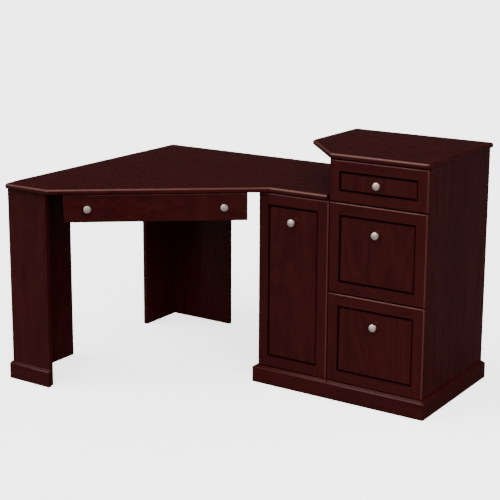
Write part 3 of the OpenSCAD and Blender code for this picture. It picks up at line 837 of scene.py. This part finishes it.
class DESK_OT_knobs(DeskOperator):
    """Turned knobs with their screws"""

    bl_idname = "desk.knobs"
    bl_label = "Knobs"

    def execute(self, context):
        for node, front in (("door_knob", "door"), ("box_knob", "box_front"),
                            ("upper_file_knob", "upper_file_front"),
                            ("lower_file_knob", "lower_file_front")):
            finished_knobs(node, front, (0.0, -1.0))
        angle = diagonal_angle()
        finished_knobs("centre_knobs", "centre_front", (math.sin(angle), -math.cos(angle)))
        return {"FINISHED"}


class DESK_OT_hardware(DeskOperator):
    """Runners, brackets and bracket screws"""

    bl_idname = "desk.hardware"
    bl_label = "Hardware"

    def execute(self, context):
        for node in NODES:
            if "runner" in node or "bracket" in node:
                keep(node, zinc())
        return {"FINISHED"}


# ---------------------------------------------------------------- stage


WHITE = (1.0, 1.0, 1.0, 1.0)

# The floor and the sky are pale to the camera. All other rays find them dark, so that their
# reflection doesn't grey the wood, but for a bright patch overhead and one in front, which
# light the rounded edges and the knobs.
FLOOR_HALF = 60.0
FLOOR_DROP = 0.4 * MM
FLOOR_GLOW = 2.2
FLOOR_UNSEEN = (0.018, 0.018, 0.018, 1.0)
SKY_SEEN, SKY_UNSEEN = 4.0, 0.022
# Each patch: where its middle lies, the cosines at its rim and its full part, its strength
OVERHEAD = (-0.25, -0.20, 0.95), 0.90, 0.97, 7.0
IN_FRONT = (-0.48, -0.62, 0.62), 0.80, 0.95, 1.8

# Each soft sun: its name, strength, spread in degrees, and where it shines to
SUNS = (("key", 5.5, 66, (-0.50, 0.62, -0.60)),
        ("fill_behind", 1.6, 80, (-0.55, -0.80, -0.35)),
        ("fill_left", 1.4, 80, (0.95, -0.10, -0.35)))
SIDE_PANEL_SIZE, SIDE_PANEL_POWER = (1.0, 0.9), 14.0
SIDE_PANEL_PLACE, SIDE_PANEL_AIM = (1.75, -1.3, 0.5), (0.75, -0.1, 0.5)

LENS, SENSOR, LENS_SHIFT = 91.68, 36.0, -0.12
CAMERA_PLACE = (2.5688, -3.8974, 1.7122)
CAMERA_HEADING, CAMERA_DIP, CAMERA_TILT = -33.4, 11.8, 0.3


def is_seen(tree):
    """1 for what the camera sees directly, 0 for what lights or is mirrored."""
    return put(tree, "ShaderNodeLightPath").outputs["Is Camera Ray"]


def floor_material():
    """Pale, faintly dappled floor."""
    pale = bpy.data.materials.new("Studio floor")
    pale.use_nodes = True
    tree = pale.node_tree
    surface = tree.nodes["Principled BSDF"]
    dapple = noise(tree, put(tree, "ShaderNodeTexCoord").outputs["Object"], 4.0, 2.0)
    bright = bpy.context.scene.corner_desk_colours.floor
    tones = put(tree, "ShaderNodeMix", {
        0: dapple, 6: (*(c * 0.985 for c in bright), 1.0), 7: (*bright, 1.0)},
        data_type="RGBA")
    seen = is_seen(tree)
    shown = put(tree, "ShaderNodeMix", {0: seen, 6: FLOOR_UNSEEN, 7: tones.outputs[2]},
                data_type="RGBA")
    tree.links.new(shown.outputs[2], surface.inputs["Base Color"])
    surface.inputs["Roughness"].default_value = 0.7
    surface.inputs["Emission Color"].default_value = WHITE
    tree.links.new(maths(tree, "MULTIPLY", seen, FLOOR_GLOW), surface.inputs["Emission Strength"])
    return pale


def bright_patch(tree, ray, patch, least):
    """A soft patch of the sky, and its least strength elsewhere."""
    middle, rim, full, strength = patch
    facing = put(tree, "ShaderNodeVectorMath", {0: ray, 1: middle},
                 operation="DOT_PRODUCT").outputs["Value"]
    return put(tree, "ShaderNodeMapRange", {
        "Value": facing, "From Min": rim, "From Max": full, "To Min": least,
        "To Max": strength}, interpolation_type="SMOOTHSTEP").outputs[0]


def studio_world():
    """Even sky with its bright patches."""
    world = bpy.data.worlds.new("Studio")
    world.use_nodes = True
    tree = world.node_tree
    ray = put(tree, "ShaderNodeTexCoord").outputs["Generated"]
    patches = maths(tree, "ADD", bright_patch(tree, ray, OVERHEAD, SKY_UNSEEN),
                    bright_patch(tree, ray, IN_FRONT, 0.0))
    glow = put(tree, "ShaderNodeMix", {0: is_seen(tree), 2: patches, 3: SKY_SEEN})
    background = tree.nodes["Background"]
    tree.links.new(glow.outputs[0], background.inputs["Strength"])
    background.inputs["Color"].default_value = WHITE
    return world


def hang_lamp(name, lamp, towards):
    """Puts a lamp in the scene, shining in a direction and hidden from gloss."""
    made = bpy.data.objects.new(name, lamp)
    bpy.context.scene.collection.objects.link(made)
    made.rotation_euler = Vector(towards).to_track_quat("-Z", "Y").to_euler()
    made.visible_glossy = False
    return made


def place_camera():
    """The camera, above the right front of the desk and looking down at it."""
    lens = bpy.data.cameras.new("camera")
    camera = bpy.data.objects.new("camera", lens)
    bpy.context.scene.collection.objects.link(camera)
    lens.lens, lens.sensor_width, lens.shift_y = LENS, SENSOR, LENS_SHIFT
    camera.location = CAMERA_PLACE
    heading, dip, tilt = (math.radians(a) for a in (CAMERA_HEADING, CAMERA_DIP, CAMERA_TILT))
    ahead = Vector((math.sin(heading) * math.cos(dip), math.cos(heading) * math.cos(dip),
                    -math.sin(dip)))
    level = Vector((math.cos(heading), -math.sin(heading), 0.0))
    up = level.cross(ahead)
    right = level * math.cos(tilt) + up * math.sin(tilt)
    up = up * math.cos(tilt) - level * math.sin(tilt)
    camera.rotation_euler = Matrix((right, up, -ahead)).transposed().to_euler()
    return camera


class DESK_OT_stage(DeskOperator):
    """Pale floor, soft lights and the camera"""

    bl_idname = "desk.stage"
    bl_label = "Stage"

    def execute(self, context):
        scene = context.scene
        work = bmesh.new()
        bmesh.ops.create_grid(work, x_segments=8, y_segments=8, size=FLOOR_HALF)
        floor = bpy.data.objects.new("studio_floor", to_mesh(work, "studio_floor"))
        scene.collection.objects.link(floor)
        floor.location.z = -FLOOR_DROP
        floor.data.materials.append(floor_material())

        scene.world = studio_world()
        for name, strength, spread, towards in SUNS:
            sun = bpy.data.lights.new(name, "SUN")
            sun.energy, sun.angle = strength, math.radians(spread)
            hang_lamp(name, sun, towards)
        panel = bpy.data.lights.new("side_panel", "AREA")
        panel.shape, panel.energy = "RECTANGLE", SIDE_PANEL_POWER
        panel.size, panel.size_y = SIDE_PANEL_SIZE
        side = hang_lamp("side_panel", panel, Vector(SIDE_PANEL_AIM) - Vector(SIDE_PANEL_PLACE))
        side.location = SIDE_PANEL_PLACE
        side.visible_camera = False

        scene.camera = place_camera()
        return {"FINISHED"}


# ---------------------------------------------------------------- the add-on


OPERATORS = (DESK_OT_tops, DESK_OT_legs, DESK_OT_cabinet, DESK_OT_mouldings, DESK_OT_door,
             DESK_OT_centre_drawer, DESK_OT_cabinet_drawers, DESK_OT_knobs,
             DESK_OT_hardware, DESK_OT_stage)


class DESK_PT_panel(bpy.types.Panel):
    """Sizes, colours and pieces of the desk"""

    bl_idname = "DESK_PT_panel"
    bl_label = "Corner Desk"
    bl_space_type = "VIEW_3D"
    bl_region_type = "UI"
    bl_category = "Corner Desk"

    def draw(self, context):
        for group in (context.scene.corner_desk_sizes, context.scene.corner_desk_colours):
            column = self.layout.column()
            for key in group.__annotations__:
                column.prop(group, key)
        column = self.layout.column()
        for operator in OPERATORS:
            column.operator(operator.bl_idname)


CLASSES = (CornerDeskSizes, CornerDeskColours, *OPERATORS, DESK_PT_panel)


def register():
    for cls in CLASSES:
        bpy.utils.register_class(cls)
    bpy.types.Scene.corner_desk_sizes = PointerProperty(type=CornerDeskSizes)
    bpy.types.Scene.corner_desk_colours = PointerProperty(type=CornerDeskColours)


def unregister():
    del bpy.types.Scene.corner_desk_colours
    del bpy.types.Scene.corner_desk_sizes
    for cls in reversed(CLASSES):
        bpy.utils.unregister_class(cls)


def main():
    """Makes every piece and the stage."""
    register()
    for operator in OPERATORS:
        group, name = operator.bl_idname.split(".")
        getattr(getattr(bpy.ops, group), name)()


if __name__ == "__main__":
    main()
